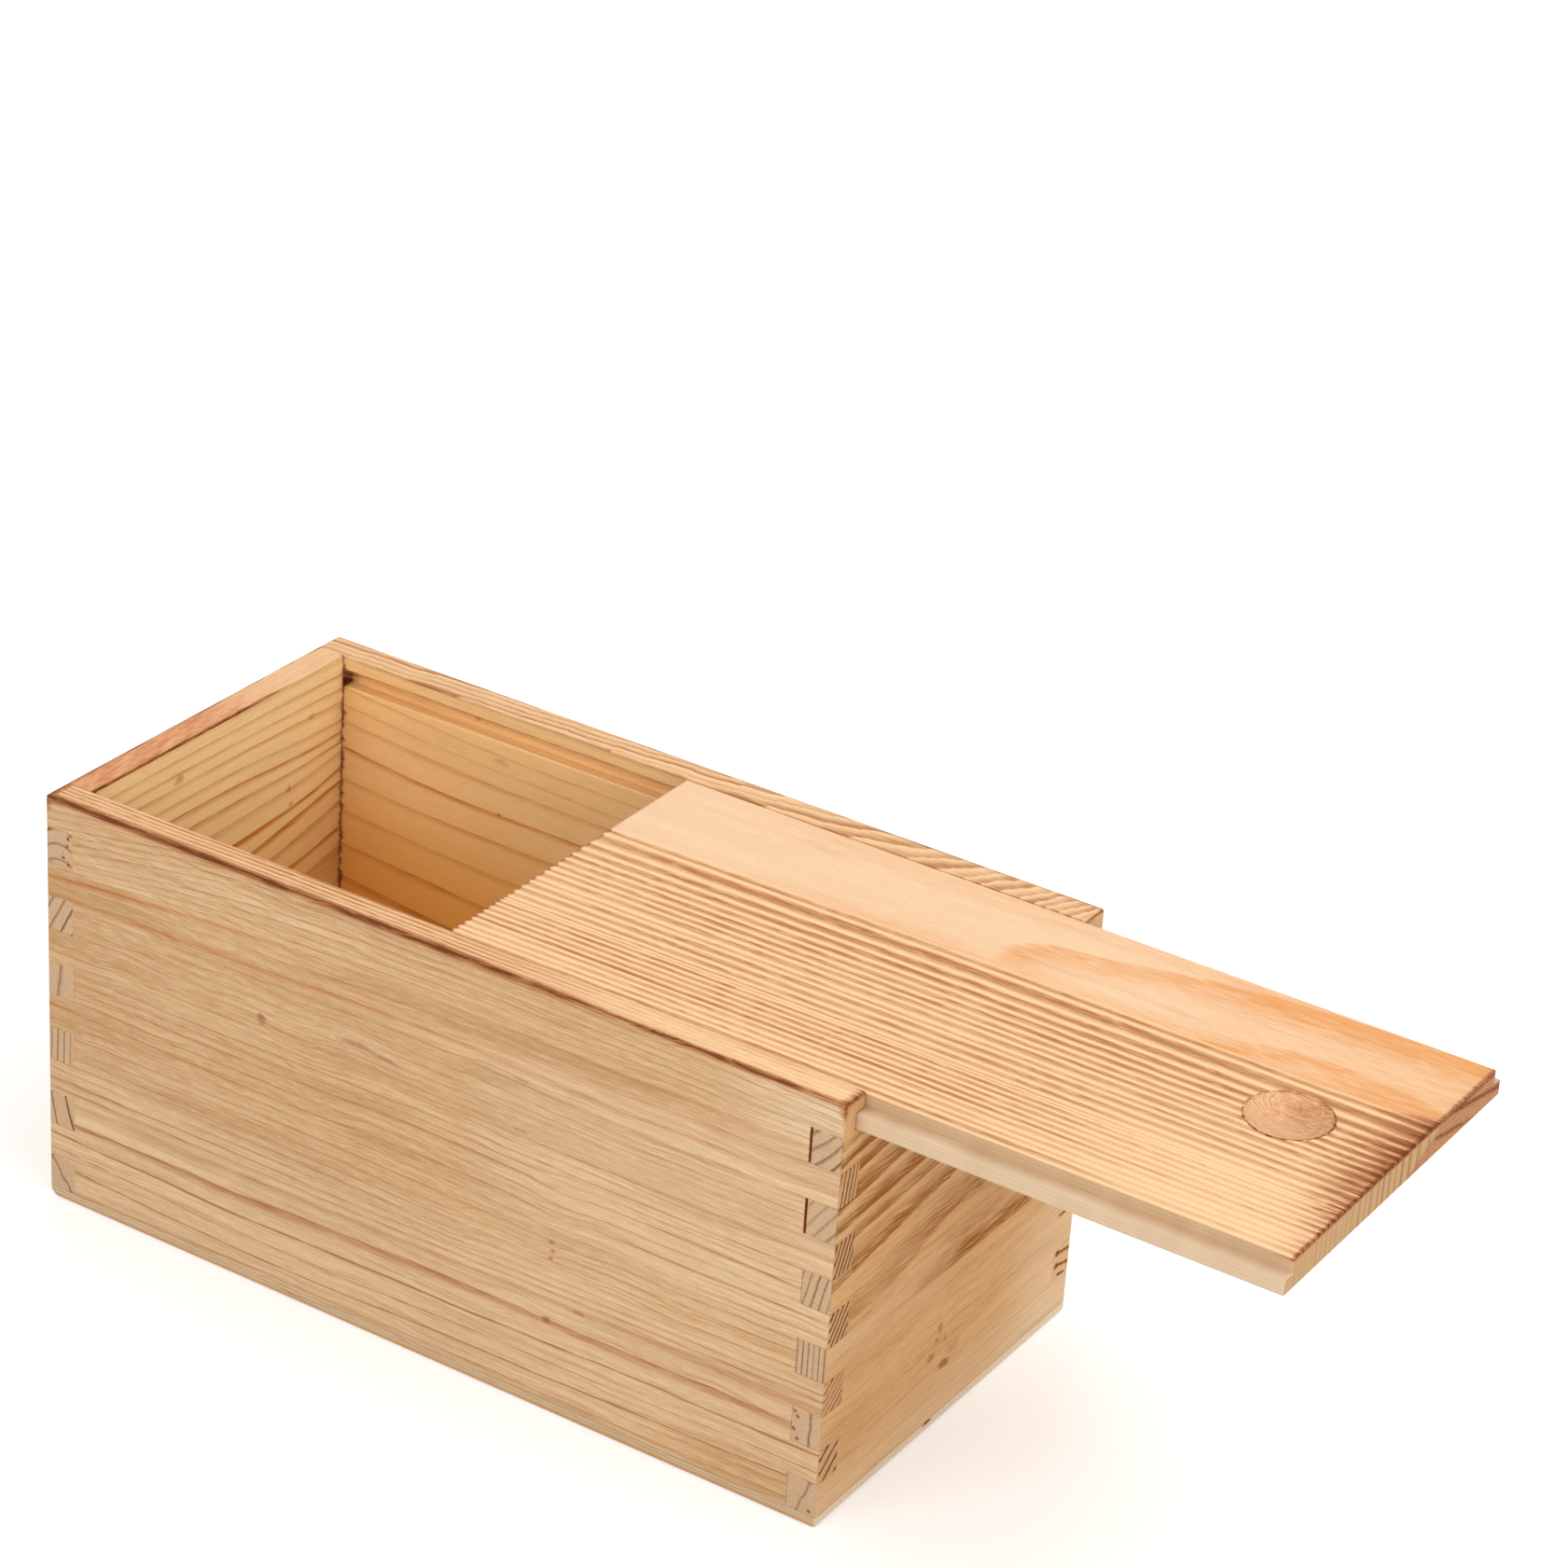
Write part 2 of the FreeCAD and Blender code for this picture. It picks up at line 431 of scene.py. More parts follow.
def cell_middles(lines):
    """Middles of the cells between the lines, as X, Y and Z arrays."""
    return np.meshgrid(*[(line[1:] + line[:-1]) / 2 for line in lines], indexing="ij")


def in_end_band(z):
    """True where a height lies in a band of fingers that belongs to the ends."""
    return (z < GROOVE_FLOOR) & (np.floor((z - FLOOR) / BAND_HEIGHT) % 2 == 0)


SLIT_WIDTH = 0.5      # the two top sockets at the near end were cut a little long
SLIT_DEPTH = 3.0
SLIT_FLOOR = BAND_EDGES[8]
CORNER = -INNER_X     # the far inner corners, where the torch left dark blots


def side_skin(facing, slits):
    """The skin of a long side; facing is -1 for the front side and +1 for the rear side."""
    x_stops = roll(END_X) + beside(-INNER_X, INNER_X)
    x_stops += [INNER_X - SLIT_WIDTH, INNER_X - 0.8]
    x = marks(x_stops + [CORNER + reach for reach in (0.7, 1.2, 1.9, 3.0, 4.5)], 2.5)
    depths = list(ROUND_LINES) + [SLIT_DEPTH] + beside(SIDE_Y - GROOVE_BACK)
    depths += list(SIDE_Y - INNER_Y - np.linspace(0, MOUTH_ROUND, 3))
    y = marks([facing * (SIDE_Y - depth) for depth in depths], 0.3)
    z = marks(beside(*BAND_EDGES, GROOVE_TOP)[1:] + list(RIM - ROUND_LINES), 0.5)
    mid_x, mid_y, mid_z = cell_middles((x, y, z))
    depth = SIDE_Y - facing * mid_y
    groove = (depth > SIDE_Y - GROOVE_BACK) & (mid_z > GROOVE_FLOOR) & (mid_z < GROOVE_TOP)
    socket = (np.abs(mid_x) > INNER_X) & in_end_band(mid_z)
    wood = ~(groove | socket)
    if slits:
        slit = (mid_x > INNER_X - SLIT_WIDTH) & (depth < SLIT_DEPTH) & in_end_band(mid_z)
        wood &= ~(slit & (mid_z > SLIT_FLOOR))
    points, faces, step, arris = skin((x, y, z), wood)
    return worn(points, step, arris), faces, step


def side_relief(ring, depth, top):
    """How far each point of a side moves along its step into the wood, where the brush went."""
    brush = brush_line(ring)
    outer = depth < 0.5
    return np.stack([0 * ring, FACE_RELIEF * brush * outer, TOP_RELIEF * brush * top], axis=1)


def inner_half(depth):
    """1 on the half of a board that faces inward, which the torch didn't reach."""
    return smooth(depth, 4.0, 5.0)


def arris_burn(points, broad):
    """Scorch along the box's outer arrises: most where two outer faces meet, fading inward."""
    x, y, z = points.T
    gaps = np.sort(np.stack([END_X - np.abs(x), SIDE_Y - np.abs(y), RIM - z]), axis=0)
    return bell(gaps[1], broad) * (0.08 + 0.92 * smooth(z, RIM - 6, RIM - 2))


def end_grain(across, height, rows):
    """Growth lines over a column of squares of end grain, 2 bands of height apart.

    Each row is one square, the lowest first: the slope of its lines in degrees, their pitch, where
    they start, how much they curve, and the darkness and breadth of their late wood. Returns the
    ring number, which is far from those of the faces, the darkness and the breadth.
    """
    square = np.clip(height / (2 * BAND_HEIGHT), 0, len(rows) - 1).astype(int)
    slope, pitch, start, curve, darkness, breadth = np.array(rows)[square].T
    slope = np.radians(slope)
    over = (height - 2 * BAND_HEIGHT * square) * np.cos(slope) - across * np.sin(slope)
    return 60 + start + (over + curve * (across - BOARD / 2) ** 2) / pitch, darkness, breadth


FRONT_STATIONS = (-127, -60, 0, 60, 127)
FRONT_RINGS = [
    (0, 0.70, 0.30, (4.0, 4.8, 5.2, 5.5, 6.0)),
    (1, 0.90, 0.16, (11.5, 8.8, 10.0, 11.2, 13.0)),
    (2, 0.90, 0.16, (16.5, 14.2, 15.0, 16.2, 17.5)),
    (3, 1.00, 0.18, (21.3, 19.8, 20.9, 21.8, 22.8)),
    (4, 0.60, 0.60, (26.3, 26.9, 28.8, 29.2, 29.6)),
    (5, 0.65, 0.60, (33.0, 33.5, 34.6, 36.1, 36.6)),
    (8, 0.35, 0.40, (42.3, 42.0, 41.3, 42.3, 43.5)),
    (11, 0.38, 0.35, (50.0, 50.8, 49.9, 49.9, 50.8)),
    (13, 0.55, 0.30, (57.6, 58.2, 58.4, 57.0, 58.0)),
    (14, 0.50, 0.30, (62.5, 61.2, 62.4, 62.0, 62.8)),
    (15, 0.42, 0.30, (66.0, 65.1, 66.4, 65.8, 65.6)),
    (16, 0.50, 0.30, (69.5, 68.9, 70.6, 69.8, 69.9)),
    (20, 0.40, 0.30, (79.2, 80.2, 80.6, 80.6, 81.0)),
    (23, 0.40, 0.30, (86.6, 86.6, 86.2, 86.9, 86.9)),
    (25, 0.40, 0.35, (90.8, 92.4, 92.8, 90.8, 91.0)),
    (27, 0.35, 0.40, (96.8, 98.8, 101.2, 100.2, 101.5)),
    (29, 0.35, 0.40, (102.0, 107.6, 110.5, 110.8, 111.5)),
    (34, 0.50, 0.35, (108.0, 119.0, 122.0, 122.0, 119.0)),
    (38, 0.50, 0.35, (117.0, 127.0, 130.0, 130.0, 128.0)),
]
FRONT_SPOTS = [
    (-53.0, 83.8, 1.7, 1.9, 0.7),
    (42.5, 53.0, 1.0, 0.8, 0.7),
    (43.0, 50.3, 1.0, 0.7, 0.6),
    (42.5, 47.7, 1.0, 0.7, 0.6),
    (42.0, 28.5, 1.6, 1.2, 0.8),
    (52.0, 34.6, 2.0, 0.7, 0.6),
    (-22.0, 86.8, 6.0, 1.0, 0.5),
    (-12.5, 86.4, 5.0, 0.8, 0.45),
    (31.0, 96.0, 3.0, 0.5, 0.4),
    (31.0, 82.5, 2.5, 0.5, 0.4),
]
FRONT_BUTT = [
    (37, 3.4, 0.15, 0.0, 1.6, 0.42),
    (40, 1.9, 0.00, 0.0, 0.8, 0.50),
    (54, 1.9, 0.30, 0.0, 1.5, 0.60),
    (66, 1.8, 0.00, 0.0, 1.6, 0.62),
    (80, 1.8, 0.20, 0.0, 1.2, 0.55),
    (80, 2.2, 0.20, 0.0, 0.15, 0.40),
]

points, faces, step = side_skin(-1, slits=True)
x, y, z = points.T
depth = SIDE_Y + y
# lean is how steeply the rings climb from the outer face inward, at each height
lean = bent(z, (0, 20, 40, 60, 80, 100, 126), (0.7, 0.7, 0.9, 1.3, 1.3, 2.1, 2.4))
dip = 1.4 * bell(x - 45, 9) * hump(z, 50, 60, 66, 76)
ring, line, breadth = growth(x, z - lean * depth + dip, FRONT_STATIONS, FRONT_RINGS)
streak_one = bell(ring - 28.97, 0.3) * (1 - 0.6 * smooth(x, -110, -70)) * fall(x, -80, -10)
streak_two = bell(ring - 26.85, 0.28) * (1 - 0.65 * smooth(x, -60, 20))
brown = bell(ring - 3.8, 0.22) + bell(ring - 4.82, 0.2)
brown *= 0.26 * smooth(x, -120, -40) * (0.8 + 0.2 * waver(x, 60, 1.1))
blush = 0.14 * hump(ring, 26.6, 27.4, 28.5, 29.5) * smooth(x, -60, -10)
top = (z > RIM - ON_TOP) & (depth > 0.4)
butt = x > END_X - ON_FACE
butt_ring, butt_line, butt_breadth = end_grain(depth, z - FLOOR - BAND_HEIGHT, FRONT_BUTT)
ring = np.where(butt, butt_ring, ring)
breadth = np.where(butt, butt_breadth, breadth)
ring = np.where(top, 40.3 + (depth - 0.012 * x + 0.2 * waver(x, 150, 0.5)) / 1.7, ring)
line = np.where(top, 0.95 - 0.65 * smooth(x, 0, 80), np.where(butt, butt_line, line))
torch = 1.15 - 0.25 * smooth(x, -10, 50) + 0.2 * waver(x, 90, 1.3) + 0.15 * waver(x, 31, 0.4)
burn = arris_burn(points, 1.3 - 0.15 * smooth(x, 20, 80)) * torch
burn += 0.15 * top * fall(depth, 1.0, 5.0) * (1 - 0.5 * smooth(x, 20, 60))
burn += 0.12 * hump(z, 50, 85, 106, 112) * butt
# Darker round the groove's mouth on the butt.
behind = np.clip(SIDE_Y - GROOVE_BACK - depth, 0, None)
groove_gap = np.hypot(behind, np.clip(z - GROOVE_TOP, 0, None))
burn += 0.6 * bell(groove_gap, 0.35) * (x > END_X - 1) * (z > GROOVE_FLOOR + 0.5)
# The slits' walls are darkened nearly to char: scorch, and painted shade inside the narrow gaps.
slit = (np.abs(x - INNER_X + SLIT_WIDTH / 2) < 0.5) & in_end_band(z) & (z > SLIT_FLOOR)
slit &= depth < SLIT_DEPTH + 0.5
burn = np.maximum(burn, 0.95 * slit)
upper = hump(z, 48, 60, 100, 110)
grey = 0.16 * fall(z, 34, 50)
grey += upper * (0.20 * smooth(x, -20, 60) - 0.36 * fall(x, -50, 40))
grey += 0.35 * smooth(x, 85, 118) * smooth(z, 100, 114)
grey -= 0.5 * smooth(x, 60, 105) * fall(z, 8, 16)
points += step * side_relief(ring, depth, top)
figure = {
    "ring": ring,
    "line": line,
    "breadth": breadth,
    "brushed": 0.95 * top,
    "grey": np.where(top | (depth > 0.5), 0, grey),
    "resin": streak_one + 0.5 * streak_two + blush + brown,
    "burn": burn,
    "inside": inner_half(depth) * (z < RIM - ON_TOP),
}
front = piece("front_side", points, faces, figure,
              pine("front_pine", (1, 0, 0), spots=FRONT_SPOTS, strands=0.34, streaky=0.45,
                   cut_pale=tint(206, 160, 112), cut_late=tint(110, 68, 38),
                   resin=tint(180, 110, 58)))
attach(front, "box")
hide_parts("side_front")


# ---------------------------------------------------------------------------- rear side
# The opposite long side, a mirror image of the front one from another part of the log. Its top
# edge cuts across the rings towards the open end, in bold slanting bands.

REAR_STATIONS = (-127, -85, -50, 0, 127)
REAR_RINGS = [
    (-1, 0.60, 0.40, (12.0, 12.0, 12.0, 12.0, 14.0)),
    (0, 0.70, 0.40, (20.0, 17.0, 16.0, 15.5, 17.5)),
    (1, 0.70, 0.40, (32.0, 28.0, 24.0, 22.0, 21.5)),
    (2, 0.70, 0.40, (45.0, 40.0, 38.0, 37.0, 34.5)),
    (4, 0.70, 0.40, (67.0, 63.5, 61.5, 61.0, 62.0)),
    (5, 0.70, 0.40, (78.0, 74.5, 73.5, 73.0, 74.0)),
    (6, 0.65, 0.36, (88.0, 85.0, 84.3, 84.0, 85.0)),
    (7, 0.75, 0.36, (98.5, 94.0, 93.3, 93.0, 94.0)),
    (8, 0.50, 0.36, (106.5, 103.0, 102.0, 101.5, 103.0)),
    (9, 0.40, 0.36, (111.5, 108.0, 106.8, 106.0, 108.0)),
    (10, 0.50, 0.36, (117.0, 113.5, 112.0, 111.5, 113.0)),
    (11, 0.30, 0.36, (122.0, 119.5, 118.0, 117.5, 119.0)),
    (16, 0.30, 0.50, (134.0, 131.0, 130.0, 129.0, 129.0)),
]
REAR_SPOTS = [
    (-73.0, 119.5, 1.2, 0.7, 0.6),
    (-62.0, 93.5, 0.8, 0.6, 0.6),
    (-62.0, 110.0, 2.5, 1.2, 0.3),
]
REAR_CRACKS = [       # dark lines in the butt: height, slope, and where each starts and ends
    (34.5, 0.0, 55.2, 60.0),
    (21.9, 0.14, 55.6, 63.0),
    (18.0, 0.22, 55.6, 63.0),
    (14.6, 0.25, 57.0, 61.5),
]

points, faces, step = side_skin(1, slits=False)
x, y, z = points.T
depth = SIDE_Y - y
inner = SIDE_Y - INNER_Y - depth            # how far out from the inner face
lean = 0.1 + 1.1 * smooth(z, 40, 120)
ring, line, breadth = growth(x, z + lean * inner, REAR_STATIONS, REAR_RINGS)
top = (z > RIM - ON_TOP) & (depth > 0.4)
open_end = np.clip(x, 0, None) / 120
pitch = 2.5 + 4.2 * smooth(x, -20, 110)
slant = 0.02 * x + 8.5 * open_end ** 3.8 - 0.16 * waver(x, 60) - 0.08 * waver(x, 17)
top_ring = 40.5 + inner / pitch - slant
narrow = 0.5 + 0.25 * smooth(x, 10, 90)
top_ring = np.floor(top_ring) + (top_ring % 1) ** narrow
ring = np.where(top, top_ring, ring)
uneven = 0.85 + 0.3 * np.sin(2.4 * np.floor(ring) + 0.6)
line = np.where(top, uneven * (1.0 - 0.2 * smooth(x, 60, 110)), line)
breadth *= 0.75
butt = x > END_X - ON_FACE
shut = waver(z, 13, 0.5) + 0.5 * waver(z, 3.7, 1.2)
blot = np.clip(0.4 + 0.6 * shut, 0.2, None)
corner_scorch_and_shade = bell(x - CORNER, blot) * smooth(shut, -0.6, 0.3) * (depth > 4) * (z < RIM)
# A soft brown fade on the wall beside the corner: painted shade in the corner. The blots above are
# the torch's.
corner_scorch_and_shade += 0.2 * bell(x - CORNER, 3.5) * (depth > 8.6) * (1 - 0.5 * smooth(z, 100, 118))
in_groove = (depth > 4) * (depth < 9.1) * (z > GROOVE_FLOOR - 0.2) * (z < GROOVE_TOP + 0.1)
# A dark triangle in the groove where it runs into the far end: painted shadow in the groove's end.
corner_scorch_and_shade += 0.5 * in_groove * fall(x - 0.7 * (z - GROOVE_FLOOR), CORNER, CORNER + 3.2)
rim_burn = 0.16 * top * fall(depth, 0.5, 3.0) * smooth(x, -40, 40)
# A thin dark line just under the lip on the inner face: painted shadow of the lip.
lip_shadow = 0.3 * bell(z - GROOVE_TOP - 0.3, 0.4) * (depth > 8.6)
crack = sum(
    bell(z - height + slope * (y - start), 0.4) * (y > start) * (y < end)
    for height, slope, start, end in REAR_CRACKS)
crack += bell(y - 56.2, 0.9) * (bell(z - 21.9, 0.8) + bell(z - 17.8, 0.8))
points += step * side_relief(ring, depth, top)
burn = arris_burn(points, 0.7) * (0.6 + 0.5 * waver(x, 80, 2.0))
burn += 0.56 * corner_scorch_and_shade + 1.3 * crack * butt + lip_shadow + rim_burn
figure = {
    "ring": ring,
    "line": np.where(butt, 0.15, line),
    "breadth": breadth,
    "brushed": 0.95 * top,
    # The inner face turns towards the deeper orange dusty_and_shade colour lower down: painted shade
    # and bounce light.
    "grey": 0.9 * smooth(100 - z, 0, 50) * (depth > 8.5) * (np.abs(x) < INNER_X + 0.01),
    # The groove keeps its light inner colour from the middle on, where the lid shades it, and turns a
    # duller tan only towards the far end: painted light that offsets the shade.
    "resin": in_groove * np.where(depth < 5.4, 0.38, 0.3) * fall(x, -105, -50),
    "burn": burn,
    "inside": inner_half(depth) * (z < RIM - ON_TOP),
}
rear = piece("rear_side", points, faces, figure,
             pine("rear_pine", (1, 0, 0), spots=REAR_SPOTS, wobble=0.12,
                  cut_pale=tint(222, 178, 130), cut_late=tint(150, 100, 62),
                  resin=tint(222, 170, 110), hollow=tint(178, 119, 72), dusty_and_shade=tint(252, 186, 92)))
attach(rear, "box")
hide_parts("side_rear")


# ---------------------------------------------------------------------------- far end
# The full-height end that the lid shuts against, its grain across the box. Its fingers show
# their end grain in the sides. The pith lay outside the box, so the rings cross it as arcs.

def end_skin(facing, top):
    """The skin of an end; facing is -1 for the far end and +1 for the near end, top its height."""
    depths = list(ROUND_LINES) + [END_X - INNER_X - MOUTH_ROUND, END_X - INNER_X]
    x = marks([facing * (END_X - depth) for depth in depths], 0.45)
    y = marks(roll(SIDE_Y) + beside(-INNER_Y, INNER_Y) + [INNER_Y - 0.8, INNER_Y - 1.6], 1.5)
    z_stops = beside(*BAND_EDGES)[1:]
    z_stops += list(top - ROUND_LINES) if top > GROOVE_FLOOR else []
    z = marks([stop for stop in z_stops if stop <= top], 0.5)
    mid_x, mid_y, mid_z = cell_middles((x, y, z))
    wood = (np.abs(mid_y) < INNER_Y) | in_end_band(mid_z)
    points, faces, step, arris = skin((x, y, z), wood)
    return worn(points, step, arris), faces, step


def chipped(x, z, chips):
    """1 in the middle of each chip, at an (x, z) place on the faces of the sides."""
    return sum(np.exp(-((x - chip_x) ** 2 + (z - chip_z) ** 2) / 0.2) for chip_x, chip_z in chips)


def height_on_face(x, z, face_x, pith_x, pith_z):
    """Where the ring through (x, z) crosses a face: rings are circles round the pith."""
    square = (x - pith_x) ** 2 + (z - pith_z) ** 2 - (face_x - pith_x) ** 2
    return pith_z + np.sign(z - pith_z) * np.sqrt(np.abs(square)) * np.sign(square)


FAR_PITH = (-65.0, 48.0)
FAR_STATIONS = (-63.5, -20, 10, 35, 63.5)
FAR_RINGS = [
    (5, 0.70, 0.20, (4.0,) * 5),
    (4, 0.70, 0.20, (12.0,) * 5),
    (3, 0.70, 0.20, (18.5,) * 5),
    (2, 0.70, 0.20, (25.0,) * 5),
    (0, 0.60, 0.20, (38.0,) * 5),
    (-0.6, 0.60, 0.20, (48.0,) * 5),
    (0, 0.70, 0.20, (58.0, 58.0, 59.0, 62.0, 68.0)),
    (1, 0.90, 0.20, (64.0, 64.0, 65.0, 68.0, 73.0)),
    (2, 1.00, 0.22, (71.0, 71.0, 72.0, 76.0, 82.0)),
    (3, 0.90, 0.20, (77.5, 77.5, 79.0, 83.0, 88.0)),
    (4, 1.10, 0.30, (84.0, 84.0, 85.5, 87.0, 92.5)),
    (5, 0.90, 0.24, (92.0, 92.0, 92.5, 93.5, 97.0)),
    (6, 0.80, 0.24, (98.5, 98.5, 98.5, 98.0, 99.5)),
    (7, 0.80, 0.24, (104.0, 104.0, 103.5, 102.0, 102.0)),
    (8, 0.55, 0.22, (108.5, 108.5, 108.0, 106.5, 105.5)),
    (9, 0.60, 0.22, (113.5, 113.5, 113.0, 112.5, 111.0)),
    (10, 0.70, 0.22, (117.5, 117.5, 117.0, 116.5, 115.5)),
    (11, 0.60, 0.18, (121.5, 121.5, 121.3, 121.0, 120.5)),
    (14, 0.50, 0.18, (134.0,) * 5),
]
FAR_FINGERS = [
    (125, 14.0, 0.41, 0.0, 1.3, 0.11),
    (104, 5.3, 0.43, 0.03, 1.0, 0.22),
    (88, 2.2, 0.30, 0.0, 0.6, 0.42),
    (82, 8.0, 0.33, 0.0, 0.7, 0.26),
    (62, 3.4, 0.10, 0.0, 0.8, 0.34),
    (4, 4.6, 0.55, 0.08, 0.8, 0.30),
]
FAR_CHIPS = [(-119.2, 115.0), (-119.6, 112.6), (-121.0, 108.8), (-119.2, 107.2)]
FAR_SPOTS = [
    (-18.5, 116.0, 2.2, 1.4, 0.55),
    (40.0, 113.0, 1.6, 1.0, 0.45),
    (30.0, 92.5, 1.2, 1.2, 0.5),
    (31.0, 87.5, 1.0, 1.0, 0.45),
]

points, faces, step = end_skin(-1, RIM)
x, y, z = points.T
depth = x + END_X
level = height_on_face(x, z, -INNER_X, *FAR_PITH)
ring, line, breadth = growth(y, level, FAR_STATIONS, FAR_RINGS)
top = (z > RIM - 0.6) & (np.abs(y) < INNER_Y)
ring = np.where(top, 20.5 + depth / 4.0 + 0.008 * y, ring)
off_pith = smooth(np.abs(level - FAR_PITH[1]), 4, 20)
line *= np.where(depth < 0.5, 0.2 + 0.4 * off_pith, 1 + 0.3 * smooth(108 - z, 0, 25))
line = np.where(top, 0.5 - 0.3 * smooth(y, 0, 20), line)
finger = np.abs(y) > SIDE_Y - ON_FACE
finger_ring, finger_line, finger_breadth = end_grain(depth, z - FLOOR, FAR_FINGERS)
ring = np.where(finger, finger_ring, ring)
line = np.where(finger, finger_line, line)
inner_arris = bell(depth - 8.8, 0.35) * (z > RIM - 0.65) * fall(y, 5, 40)
corner_scorch_and_shade = bell(np.abs(y) - INNER_Y, 0.7 + 0.4 * waver(z, 9, 0.8)) * (depth > 8.5)
# A soft brown fade towards the rear corner on the inner face: painted shade in the corner.
corner_scorch_and_shade += 0.3 * smooth(y, 46, INNER_Y) * (depth > 8.5) * (1 - 0.6 * smooth(z, 108, 120))
# Dark at the groove floor where the grooves run into the far end: painted shadow inside the groove's
# end.
groove_end_shadow = (np.abs(y) > INNER_Y + 0.1) * (np.abs(y) < SIDE_Y - 2) * (np.abs(z - GROOVE_FLOOR) < 0.3)
uneven = 1 + 0.25 * waver(y + 2 * depth, 19, 0.6) + 0.2 * waver(y - depth, 5)
scorched = top * (0.12 + 0.6 * fall(y, -10, 30)) * uneven
burn = arris_burn(points, 0.9) * (0.7 + 0.5 * waver(y, 50, 0.7)) + inner_arris + 0.5 * corner_scorch_and_shade
burn += 0.3 * scorched + 1.5 * chipped(x, z, FAR_CHIPS) * finger + groove_end_shadow
figure = {
    "ring": ring,
    "line": line,
    "breadth": np.where(finger, finger_breadth, breadth + 0.26),
    "brushed": 0.7 * top,
    # The inner face turns towards the deeper orange dusty_and_shade colour lower down: painted shade
    # and bounce light.
    "grey": (0.02 + 0.34 * smooth(103 - z, 0, 40)) * (depth > 8.5) * (np.abs(y) < INNER_Y + 0.01),
    "resin": scorched,
    "burn": burn,
    "inside": inner_half(depth) * (z < RIM - 0.6),
}
far = piece("far_end", points, faces, figure,
            pine("far_end_pine", (0, 1, 0), spots=FAR_SPOTS, wobble=0.12,
                 inner=tint(255, 220, 160), resin=tint(222, 146, 96), dusty_and_shade=tint(252, 186, 92)))
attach(far, "box")
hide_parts("end_far")


# ---------------------------------------------------------------------------- near end
# The lower end that the lid passes over, with its top level with the groove floors. It was
# scorched most under the lid, where the brush has left sharp brown waves of late wood.

NEAR_PITH = (190.0, 44.0)
NEAR_STATIONS = (-63.5, -55, -30, -15, 10, 37, 63.5)
NEAR_RINGS = [
    (-0.6, 0.20, 0.50, (44.0,) * 7),
    (0, 0.20, 0.50, (48.0, 48.3, 48.5, 48.3, 48.4, 48.8, 50.0)),
    (1, 0.40, 0.95, (56.0, 57.0, 60.0, 64.0, 67.5, 71.0, 74.0)),
    (2, 0.80, 1.00, (71.3, 72.5, 76.0, 77.6, 80.0, 83.0, 86.0)),
    (3, 0.70, 0.95, (82.0, 83.2, 84.6, 85.5, 87.0, 89.0, 91.0)),
    (4, 0.70, 0.95, (87.5, 88.6, 90.0, 91.0, 92.5, 94.0, 96.0)),
    (5, 0.70, 0.95, (94.0, 95.2, 98.0, 99.0, 100.0, 101.0, 102.0)),
    (6, 0.70, 0.95, (101.5, 103.0, 105.5, 107.0, 108.0, 109.0, 110.0)),
    (7, 0.60, 0.95, (107.5, 108.5, 110.0, 111.0, 112.0, 113.0, 114.0)),
    (9, 0.60, 0.95, (117.0, 118.0, 119.0, 120.0, 121.0, 122.0, 123.0)),
]
NEAR_WAVES = [0, 0.25, 0.75, 0.50, 0.60, 0.70, 0.60, 0.50, 0.45, 0.45]  # brown above each ring
NEAR_FINGERS = [
    (70, 11.0, 0.20, 0.04, 0.9, 0.13),
    (90, 9.0, 0.55, 0.0, 1.0, 0.16),
    (90, 1.6, 0.00, 0.0, 0.7, 0.45),
    (77, 2.3, 0.10, 0.0, 0.7, 0.38),
    (54, 3.2, 0.40, 0.0, 0.5, 0.40),
    (47, 3.3, 0.20, -0.03, 0.8, 0.42),
]
NEAR_CHIPS = [(118.8, 33.0), (119.8, 31.6), (118.8, 27.6), (120.0, 25.0), (125.0, 4.6)]
NEAR_SPOTS = [
    (-6.0, 31.0, 1.3, 2.2, 0.55),
    (-7.5, 27.5, 1.5, 1.0, 0.5),
    (-3.0, 26.5, 1.0, 1.0, 0.4),
    (-9.8, 22.8, 2.2, 1.3, 0.6),
    (1.5, 21.5, 3.5, 2.2, 0.3),
    (-2.8, 17.6, 3.2, 1.6, 0.85),
]
NEAR_RELIEF = 0.06

points, faces, step = end_skin(1, GROOVE_FLOOR)
x, y, z = points.T
depth = END_X - x
level = height_on_face(x, np.maximum(z, NEAR_PITH[1] + 0.01), END_X, *NEAR_PITH)
level = np.where(z < NEAR_PITH[1], NEAR_PITH[1] + 0.5 * (level - NEAR_PITH[1]) + 0.1 * z, level)
ring, line, breadth = growth(y, level, NEAR_STATIONS, NEAR_RINGS)
line *= 1 - 0.5 * fall(y, -45, -15) * fall(z, 66, 72)
finger = np.abs(y) > SIDE_Y - ON_FACE
finger_ring, finger_line, finger_breadth = end_grain(BOARD - depth, z - FLOOR, NEAR_FINGERS)
dusk = smooth(z, 44, 90)
relief = NEAR_RELIEF * brush_line(-ring) * dusk * (depth < 0.5)
points += step * np.stack([relief, 0 * y, 0 * z], axis=1)
band = 0.85 * bell(z - 50.5, 3.4) * hump(y, -28, 8, 34, 45) * smooth(z, 48.2, 48.6)
band += 0.35 * bell(z - 57, 2.4) * hump(y, -15, 0, 15, 28)
band += 0.30 * bell(z - 68, 2.6) * hump(y, -35, -18, 15, 40)
wave = np.array(NEAR_WAVES)[np.clip(ring, 0, 9).astype(int)] * smooth(-ring % 1, 0.15, 0.85)
wave *= 0.85 + 0.25 * waver(y + 0.5 * z, 37, 0.9)
fleck = 0.35 * bell(z - 55.8, 0.8) * fall(y, -45, -25)
burn = 0.03 * dusk * (depth < 5) + arris_burn(points, 0.7)
